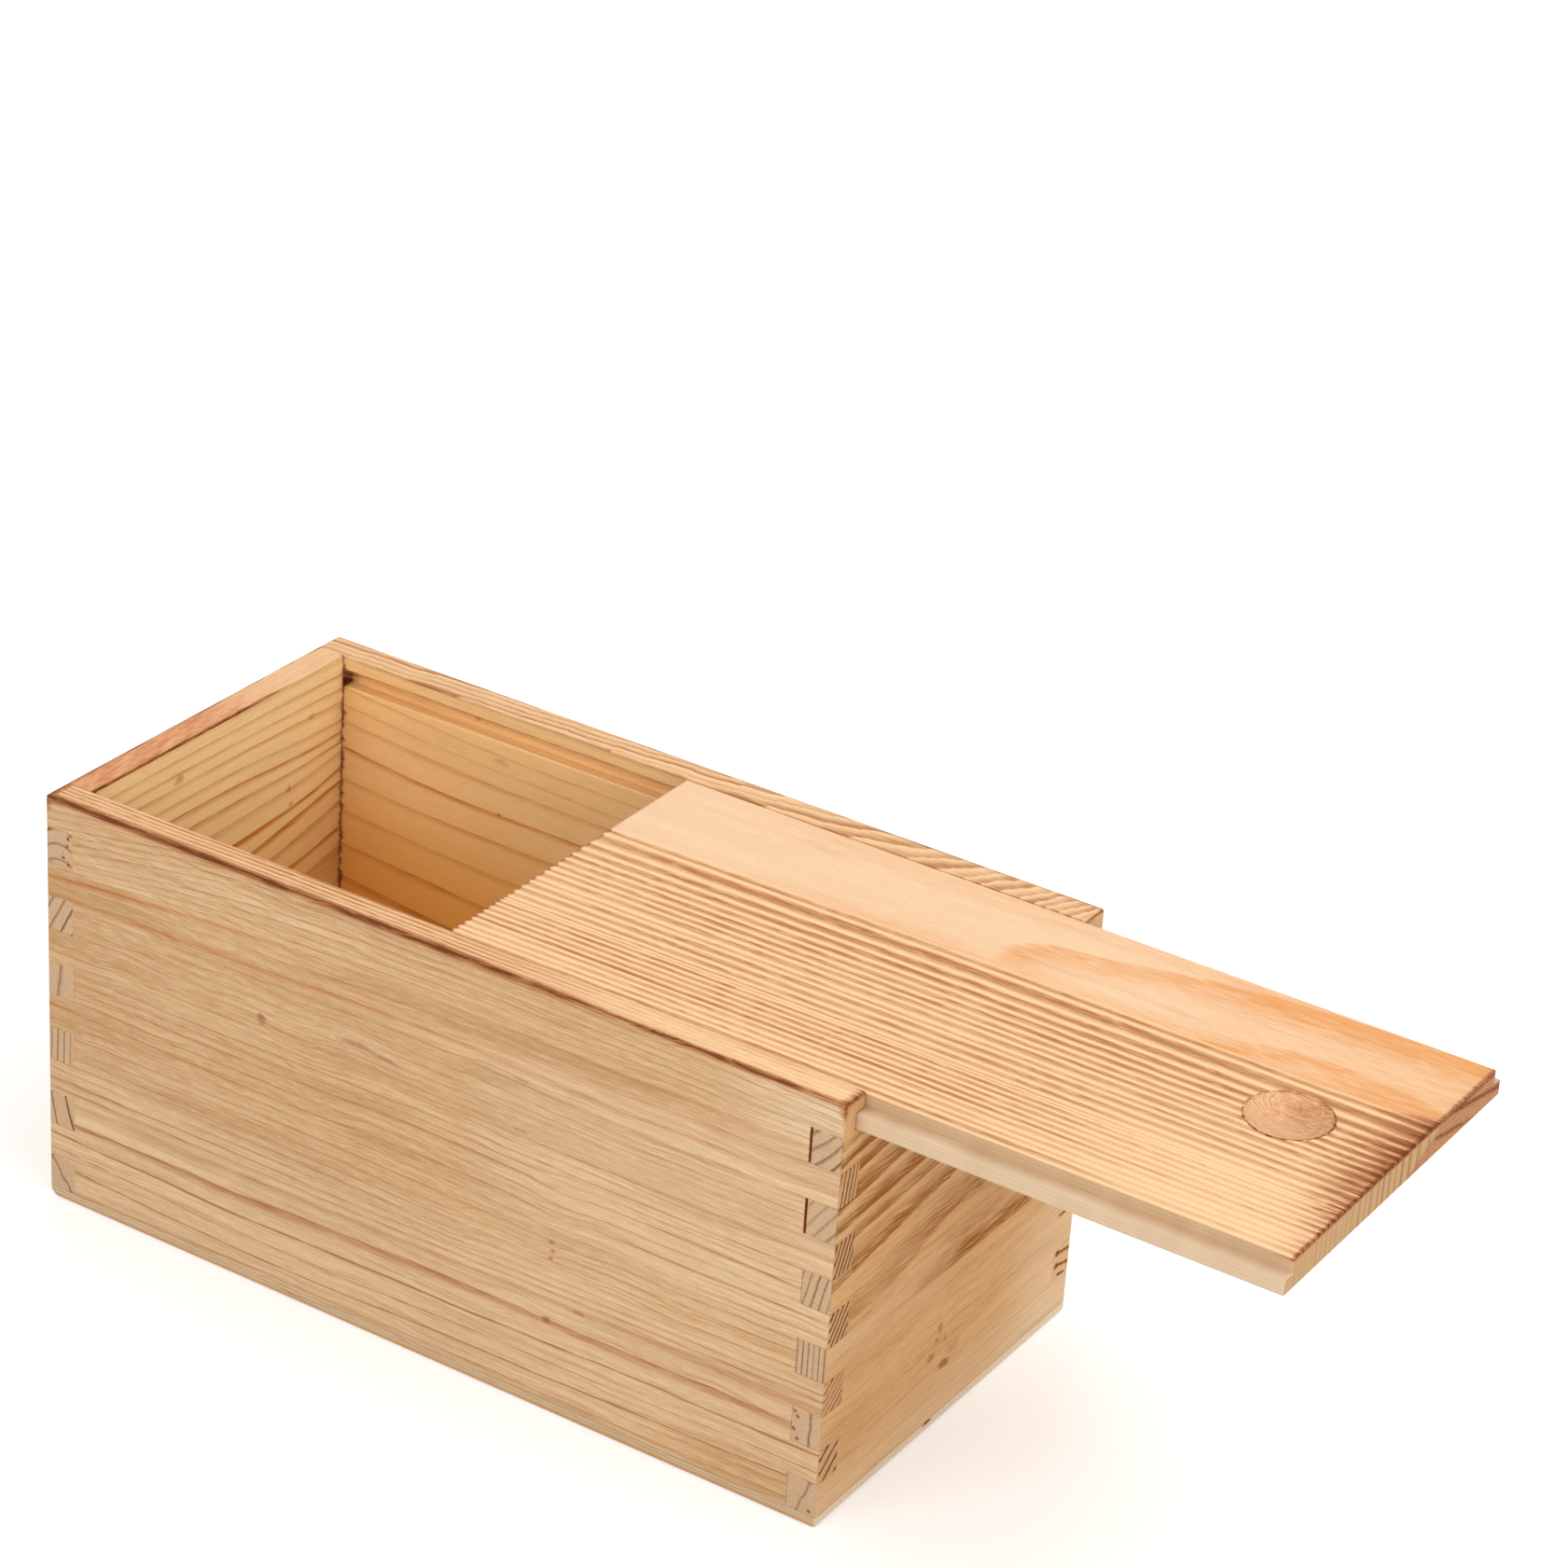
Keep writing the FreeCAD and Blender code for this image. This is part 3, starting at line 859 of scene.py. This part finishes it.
burn += 1.5 * chipped(x, z, NEAR_CHIPS) * finger
grey = 0.28 * fall(z, 3, 22) + 0.3 * smooth(y, 20, 50) * fall(z, 30, 50)
grey -= 0.45 * bell(y + 48, 10) * bell(z - 27, 9)
grey += 0.1 * bell(z - 51, 7) * fall(y, -15, 5)
figure = {
    "ring": np.where(finger, finger_ring, -ring),
    "line": np.where(finger, finger_line, line),
    "breadth": np.where(finger, finger_breadth, breadth),
    "brushed": 0.0,
    "grey": grey * (depth < 0.5),
    "resin": (fleck + band + wave + 0.06 * dusk) * (depth < 5) * (np.abs(y) < INNER_Y),
    "burn": burn,
    "inside": inner_half(depth),
}
near = piece("near_end", points, faces, figure,
             pine("near_end_pine", (0, 1, 0), tint(220, 176, 124), tint(196, 148, 98),
                  tint(138, 80, 22), NEAR_SPOTS, wobble=0.12, resin=tint(150, 86, 16),
                  strands=0.18, streaky=0.7))
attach(near, "box")
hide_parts("end_near")


# ---------------------------------------------------------------------------- base
# A thin plywood panel glued under the four walls and sanded flush with them.

BASE_SPOTS = [(11.0, 0.6, 3.0, 0.5, 0.8), (-40.0, 1.2, 6.0, 0.3, 0.5), (60.0, 0.8, 20.0, 0.4, 0.4)]
FOOT_ROUND = 2.8      # the far foot of the box was sanded rounder than the rest
VOID_Y, VOID_Z = -9.0, 2.5  # a gap in the plywood's edge, under the near end
lines = (
    marks(roll(END_X) + list(-END_X + np.linspace(0, FOOT_ROUND, 9)), 4.0),
    marks(roll(SIDE_Y) + list(VOID_Y + np.linspace(-3, 3, 9)), 4.0),
    marks([0, 0.25, 0.5, 0.9, 1.5, 1.7, 2.1, 2.4, 2.6, 2.8, FLOOR], 0.5),
)
mid_x, mid_y, mid_z = cell_middles(lines)
points, faces, step, arris = skin(lines, np.ones(mid_x.shape, bool))
points = worn(points, step, arris)
foot = round_over(points, (-END_X, -BEYOND, 0), (BEYOND, BEYOND, BEYOND), FOOT_ROUND)
points = np.where(points[:, :1] < 0, foot, points)
x, y, z = points.T
# The gap is painted dark rather than cut: painted shade inside the gap.
void = np.exp(-(((y - VOID_Y) / 2.2) ** 2 + ((z - VOID_Z) / 0.35) ** 2) ** 2) * (x > 0)
along = x < END_X - 0.5
ring = z / 0.9 + 0.3 + 0.2 * waver(x, 70) + 0.1 * waver(x, 9)
ring += (z < 0.3) * (y / 6 + 0.5 * waver(x, 190))
figure = {
    "ring": ring,
    "line": 0.5,
    "breadth": 0.5,
    "brushed": 0.0,
    "grey": 0.0,
    "resin": 0.8 * fall(z, 1.3, 1.8) * (np.abs(y) > INNER_Y) * along,
    "burn": (0.25 + 0.15 * smooth(x, 0, 80)) * fall(z, 0.2, 1.1) * along + 1.4 * void,
    "inside": 0.0,
}
base = piece("base", points, faces, figure,
             pine("base_ply", (1, 0, 0), tint(212, 190, 159), tint(192, 167, 132), tint(146, 108, 72),
                  BASE_SPOTS, cut_pale=tint(236, 214, 186), cut_late=tint(206, 172, 132),
                  resin=tint(200, 150, 98)))
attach(base, "box")
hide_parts("base_panel")


# ---------------------------------------------------------------------------- lid
# One board with a rebate along each long edge, which leaves the tongues that run in the grooves,
# and a round dish for a fingertip. Its straight-grained half was brushed into ridges, and its
# outer end was held longest in the flame.

FACE_EDGE = INNER_Y - RUNNING_GAP
TONGUE_EDGE = lid_high[1]
TONGUE_TOP = GROOVE_TOP - RUNNING_GAP
LID_TOP = lid_high[2]
LID_BOTTOM = lid_low[2]
LID_INNER, LID_OUTER = lid_low[0], lid_high[0]
LID_ROUND = 0.4
DISH_RADIUS = 11.5
DISH_DEPTH = 3.0
DISH_X = LID_OUTER - 31.0
DISH_Y = 1.8
DISH_REACH = 15.5     # how far out the lines bend round the dish
BALL = (DISH_RADIUS ** 2 + DISH_DEPTH ** 2) / (2 * DISH_DEPTH)
RIDGE_RELIEF = 0.42   # depth of the brushed grooves in the straight grain
END_RELIEF = 0.5      # how far they run into the end faces
STRAIGHT_EDGE = 20.0  # the straight grain runs from here to the front edge
RIDGES = [            # each ridge's place, and the darkness after it
    (19.4, 0.80), (16.1, 1.00), (9.9, 0.95), (5.6, 0.95), (1.6, 0.85), (-1.8, 0.85), (-5.2, 0.80),
    (-8.4, 0.75), (-11.2, 0.70), (-15.2, 0.60), (-17.8, 0.80), (-21.2, 0.75), (-24.8, 0.75),
    (-27.8, 0.60), (-29.6, 0.50), (-30.8, 0.80), (-33.1, 0.85), (-35.6, 0.80), (-38.2, 0.80),
    (-40.8, 1.00), (-43.2, 0.65), (-46.1, 0.60), (-48.8, 0.60), (-51.2, 0.80), (-54.4, 0.70),
    (-57.5, 0.60), (-60.5, 0.60),
]

round_lines = np.linspace(0, LID_ROUND, 3)
dish_lines = [DISH_RADIUS + gap for gap in (-0.5, -0.2, 0, 0.2, 0.5)]
dish_stops = [side * stop for stop in dish_lines + [DISH_REACH] for side in (-1, 1)]
x_fine = marks([DISH_X + stop for stop in dish_stops], 0.8)
x = marks(
    list(LID_INNER + round_lines) + [LID_INNER + 1.2] + list(x_fine)
    + [LID_OUTER - 4.0, LID_OUTER - 1.2] + list(LID_OUTER - round_lines), 3.6)
edges = list(TONGUE_EDGE - round_lines) + list(FACE_EDGE - round_lines)
ridges_to = STRAIGHT_EDGE + 1
y_fine = marks([-FACE_EDGE + LID_ROUND, ridges_to] + [DISH_Y + stop for stop in dish_stops], 0.3)
y_plain = marks([ridges_to, FACE_EDGE - LID_ROUND], 0.6)
y = marks(edges + [-edge for edge in edges] + list(y_fine) + list(y_plain), 0.9)
z = marks(
    list(LID_BOTTOM + round_lines) + list(TONGUE_TOP - round_lines) + list(LID_TOP - round_lines)
    + [TONGUE_TOP + 0.3], 0.6)
mid_x, mid_y, mid_z = cell_middles((x, y, z))
points, faces, step, arris = skin((x, y, z), (np.abs(mid_y) < FACE_EDGE) | (mid_z < TONGUE_TOP))

over = np.abs(points[:, 1]) <= FACE_EDGE + 0.01
half_width = np.where(over, FACE_EDGE, TONGUE_EDGE)
ceiling = np.where(over, LID_TOP, TONGUE_TOP)
tongue = np.where(over & (points[:, 2] <= TONGUE_TOP), BEYOND, half_width)
low = np.stack([np.full(len(points), LID_INNER), -tongue, np.full(len(points), LID_BOTTOM)], axis=1)
high = np.stack([np.full(len(points), LID_OUTER), tongue, ceiling], axis=1)
points = round_over(points, low, high, LID_ROUND)

offset = points[:, :2] - (DISH_X, DISH_Y)
square = np.abs(offset).max(axis=1)
away = np.linalg.norm(offset, axis=1)
pull = fall(square, DISH_RADIUS + 0.6, DISH_REACH) * (points[:, 2] > TONGUE_TOP)
circle = np.divide(square, away, out=np.ones_like(away), where=away > 1e-9)
points[:, :2] = (DISH_X, DISH_Y) + offset * (1 + pull * (circle - 1))[:, None]

x, y, z = points.T
drift = -1.7 * np.clip((120 - x) / 120, 0, 1) ** 1.3    # the ridges sink a little inward
places, darkness = np.array(RIDGES).T
ring = np.interp(-(y - drift), -places, np.arange(len(places)))
away = np.hypot(x - DISH_X, y - DISH_Y)
in_dish = away < DISH_RADIUS + 0.05
on_top = z > LID_TOP - 0.6
straight = fall(y - drift, STRAIGHT_EDGE - 1.2, STRAIGHT_EDGE)
soft = 1 - 0.55 * smooth(x, 145, 215) * smooth(-y, 14, 32)
line = darkness[ring.astype(int)] * soft * (0.85 + 0.15 * smooth(x, 0, 60))
trough = brush_line(ring) * (0.4 + 0.6 * line)
relief = RIDGE_RELIEF * trough * straight * ~in_dish
ball = DISH_DEPTH - BALL + np.sqrt(np.clip(BALL ** 2 - away ** 2, 0, None))
end_bite = END_RELIEF * trough * straight
end_bite *= (z > LID_TOP - 1.6) * smooth(z, LID_TOP - 2.0, LID_TOP)
points += step * np.stack([end_bite, 0 * y, on_top * relief], axis=1)
points[:, 2] -= (z > TONGUE_TOP + 0.5) * in_dish * ball

flame_one = bent(x, (118, 123, 140, 170, 200, 245), (31, 36, 41, 49, 53, 55)) - y
flame_two = bent(x, (178, 190, 200, 220, 235, 245), (20, 27, 30, 31, 29, 26)) - y
flame = hump(flame_one, 0, 0.6, 2, 17) * smooth(x, 117, 122)
flicker = 0.61 + 0.15 * waver(flame_one + 0.02 * x, 5, 0.6)
flame *= flicker + 0.1 * hump(x, 165, 180, 190, 215)
flame_low = hump(flame_two, 0, 0.6, 2, 11) * smooth(x, 178, 200)
flame_low *= 0.46 + 0.1 * smooth(x, 215, 235)
warmth = 0.22 * smooth(x, 155, 185) + 0.13 * smooth(x, 195, 225) + 0.1 * smooth(x, 232, 246)
warmth += 0.42 * fall(y - drift, 19, 27) * smooth(x, 20, 100)
warmth += 0.16 * smooth(y, 44, 50) * smooth(x, 20, 50)
resin = (flame + flame_low + warmth) * (1 - straight)
tip = 0.3 * hump(x, 117.4, 118.4, 119, 138) * smooth(y, 20, 25) * (flame_one > 0)
blush = 0.2 * bell(y - 45 - 0.02 * (x - 40), 1.3) * hump(x, 15, 30, 50, 66)
held = 0.47 + 0.36 * smooth(y, -50, 5)
reach = np.clip((x - 224 - 7 * smooth(-y, 22, 50) + 1.5 * waver(y, 17, 0.4)) / 21, 0, 1) ** 1.35
burnt_to = 20.5 + 3.5 * smooth(x, 232, 243)
grooved = 0.5 + 0.68 * np.where(y > 19.4, 0.1, brush_line(ring))
end_burn = held * reach * (0.2 + 0.8 * smooth(burnt_to - y, 0, 2)) * grooved * on_top
arris_gap = np.minimum(x - LID_INNER, LID_OUTER - x)
edge_burn = 0.35 + 0.5 * brush_line(ring) * straight + 0.25 * smooth(x, 200, 230) * (1 - straight)
edge_burn *= bell(arris_gap, 0.7) * (z > LID_TOP - 1.2)
rim_side = smooth((x - DISH_X) - (y - DISH_Y), -14, 14)
rim_burn = (0.3 + 0.65 * rim_side) * bell(away - DISH_RADIUS, 0.3)
rim_burn *= 0.75 + 0.6 * waver(DISH_RADIUS * np.arctan2(y - DISH_Y, x - DISH_X), 6.0, 0.7)
over_end = (arris_gap < ON_FACE) & (z < LID_TOP - 0.6)
end_stain = 0.36 * over_end * smooth(y + 2.5 * (LID_TOP - z), 24, 28)
end_lines = bell(z - (LID_BOTTOM + 5 - 0.2 * (y - 20)), 0.5) * smooth(y, 19, 22)
end_lines *= 1 - 0.5 * smooth(y, 30, 42)
end_lines += bell(z - (LID_BOTTOM + 8.3 - 0.2 * (y - 30)), 0.6) * smooth(y, 26, 34)
end_stain += 0.85 * end_lines * over_end
# The dish is browner all over, and darker towards its rear, outer side: painted shade inside the
# hollow.
dish_brown_and_shade = 0.19 + 0.13 * smooth((x - DISH_X) + (y - DISH_Y), -4, 12)
swirl = np.hypot(x - DISH_X + 4, 1.3 * (y - DISH_Y - 6)) / 1.5 + 0.3 * waver(x + y, 11)
side = np.abs(y) > FACE_EDGE - 0.1
shoulder = side & (z > TONGUE_TOP + 0.1) & ~on_top
# On the shoulder, darker towards the box end: painted shade where the box's side shades it. The dark
# line near the outer end is scorch.
shoulder_shade_and_scorch = 0.1 - 0.06 * smooth(x, 120, 180)
shoulder_shade_and_scorch += 0.3 * smooth(x, 232, 246) * smooth(z, LID_TOP - 3, LID_TOP - 0.5)
burn = end_burn + edge_burn + end_stain + shoulder_shade_and_scorch * shoulder
ring = np.where(side & ~on_top, 80 + z / 1.1 + 0.3 * waver(x, 80, 0.3), ring)
line = np.where(side & ~on_top, 0.1, line)
streaks = 0.5 + 0.4 * np.sin(4.8 * z + 1.2 * waver(x, 60)) + 0.2 * waver(x, 23, 0.9)
figure = {
    "ring": np.where(in_dish, 60 + swirl, ring),
    "line": np.where(in_dish, 0.5, line),
    "breadth": 0.6,
    "brushed": np.where(on_top & ~in_dish, straight, 0.0),
    # The shoulder turns towards the olive dusty_and_shade colour in streaks: painted shade, with the
    # grain's streaks.
    "grey": np.where(shoulder, 0.35 + 0.4 * streaks, 0.3 * streaks * side * ~on_top),
    "resin": np.where(in_dish, 0.34, np.where(on_top, resin + blush + tip, 0.1 * shoulder)),
    "burn": np.where(in_dish, dish_brown_and_shade, burn) + rim_burn * on_top,
    "inside": np.where(on_top | in_dish, 0.0, 1.0),
}
lid = piece("lid_board", points, faces, figure,
            pine("lid_pine", (1, 0, 0), tint(240, 205, 168), tint(232, 191, 150), tint(188, 128, 82),
                 wobble=0.06, cut_pale=tint(196, 156, 112), cut_late=tint(166, 122, 82),
                 inner=tint(216, 190, 161), resin=tint(226, 158, 98), dusty_and_shade=tint(172, 146, 106),
                 streaky=0.5))
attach(lid, "lid")
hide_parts("lid")


# ---------------------------------------------------------------------------- floor, lamps, camera
# A plain pale floor under a soft, even studio light.

FLOOR_SIZE = 6.0

mesh = bpy.data.meshes.new("floor")
half = FLOOR_SIZE / 2
sheet = [(-half, -half, 0), (half, -half, 0), (half, half, 0), (-half, half, 0)]
mesh.from_pydata(sheet, [], [(0, 1, 2, 3)])
floor = bpy.data.objects.new("floor", mesh)
bpy.context.scene.collection.objects.link(floor)


def looked_at(new):
    """1 for the rays that show a surface, on their own or in a reflection, and 0 for the rest."""
    seen = new.node("LightPath", output="Is Camera Ray")
    seen = seen + new.node("LightPath", output="Is Glossy Ray")
    return seen + new.node("LightPath", output="Is Transmission Ray")


paper = bpy.data.materials.new("paper")
paper.use_nodes = True
paper.node_tree.nodes.clear()
new = Wire(paper.node_tree)
matt = new.node("BsdfDiffuse", {"Color": (0.8, 0.8, 0.79, 1)})
glow = new.node("Emission", {"Color": (1, 1, 1, 1), "Strength": 0.35})
bright = new.node("AddShader", {0: matt, 1: glow})
surface = new.node("MixShader", {0: looked_at(new), 1: matt, 2: bright})
new.node("OutputMaterial", {"Surface": surface})
mesh.materials.append(paper)

world = bpy.data.worlds.new("studio")
world.use_nodes = True
world.node_tree.nodes.clear()
new = Wire(world.node_tree)
room = new.node("Background", {"Color": (1.0, 0.985, 0.96, 1), "Strength": 0.6})
white = new.node("Background", {"Color": (1, 1, 1, 1), "Strength": 1.0})
surface = new.node("MixShader", {0: looked_at(new), 1: room, 2: white})
new.node("OutputWorld", {"Surface": surface})
bpy.context.scene.world = world


LAMP_AIM = (0, 0, 0.06)     # the middle of the box, in metres


def softbox(name, place, size, power):
    """A square area lamp that faces the middle of the box."""
    lamp = bpy.data.lights.new(name, "AREA")
    lamp.shape = "SQUARE"
    lamp.size = size
    lamp.energy = power
    stand = bpy.data.objects.new(name, lamp)
    bpy.context.scene.collection.objects.link(stand)
    stand.location = place
    x, y, z = np.array(place) - LAMP_AIM
    stand.rotation_euler = (math.atan2(math.hypot(x, y), z), 0, math.atan2(x, -y))


softbox("overhead", (0.7, 0.3, 1.5), 1.0, 8.8)
softbox("front", (-0.2, -1.3, 1.0), 1.0, 8.5)
softbox("side", (1.6, -0.8, 0.55), 0.9, 9.0)
softbox("rear", (-1.2, 1.4, 0.7), 1.2, 6.0)

AZIMUTH = math.radians(31.321)
ELEVATION = math.radians(27.424)
ROLL = math.radians(3.877)
DISTANCE = 1.29651
LOOK_AT = (0.0, 0.0, 0.05)
SLIDE_RIGHT, SLIDE_UP = 0.05509, 0.08891    # from LOOK_AT to the middle of the view, in metres
SENSOR = 36.0
LENS = 109.384

level = math.cos(ELEVATION)
forward = np.array([-math.sin(AZIMUTH) * level, math.cos(AZIMUTH) * level, -math.sin(ELEVATION)])
right = np.array([math.cos(AZIMUTH), math.sin(AZIMUTH), 0])
up = np.cross(right, forward)
target = np.array(LOOK_AT) + SLIDE_RIGHT * right + SLIDE_UP * up
across = math.cos(ROLL) * right + math.sin(ROLL) * up
upward = -math.sin(ROLL) * right + math.cos(ROLL) * up
lens = bpy.data.cameras.new("camera")
lens.sensor_width = SENSOR
lens.lens = LENS
camera = bpy.data.objects.new("camera", lens)
bpy.context.scene.collection.objects.link(camera)
place = target - forward * DISTANCE
camera.matrix_world = Matrix([
    [across[i], upward[i], -forward[i], place[i]] for i in range(3)] + [[0, 0, 0, 1]])
bpy.context.scene.camera = camera
bpy.context.scene.view_settings.view_transform = "Standard"
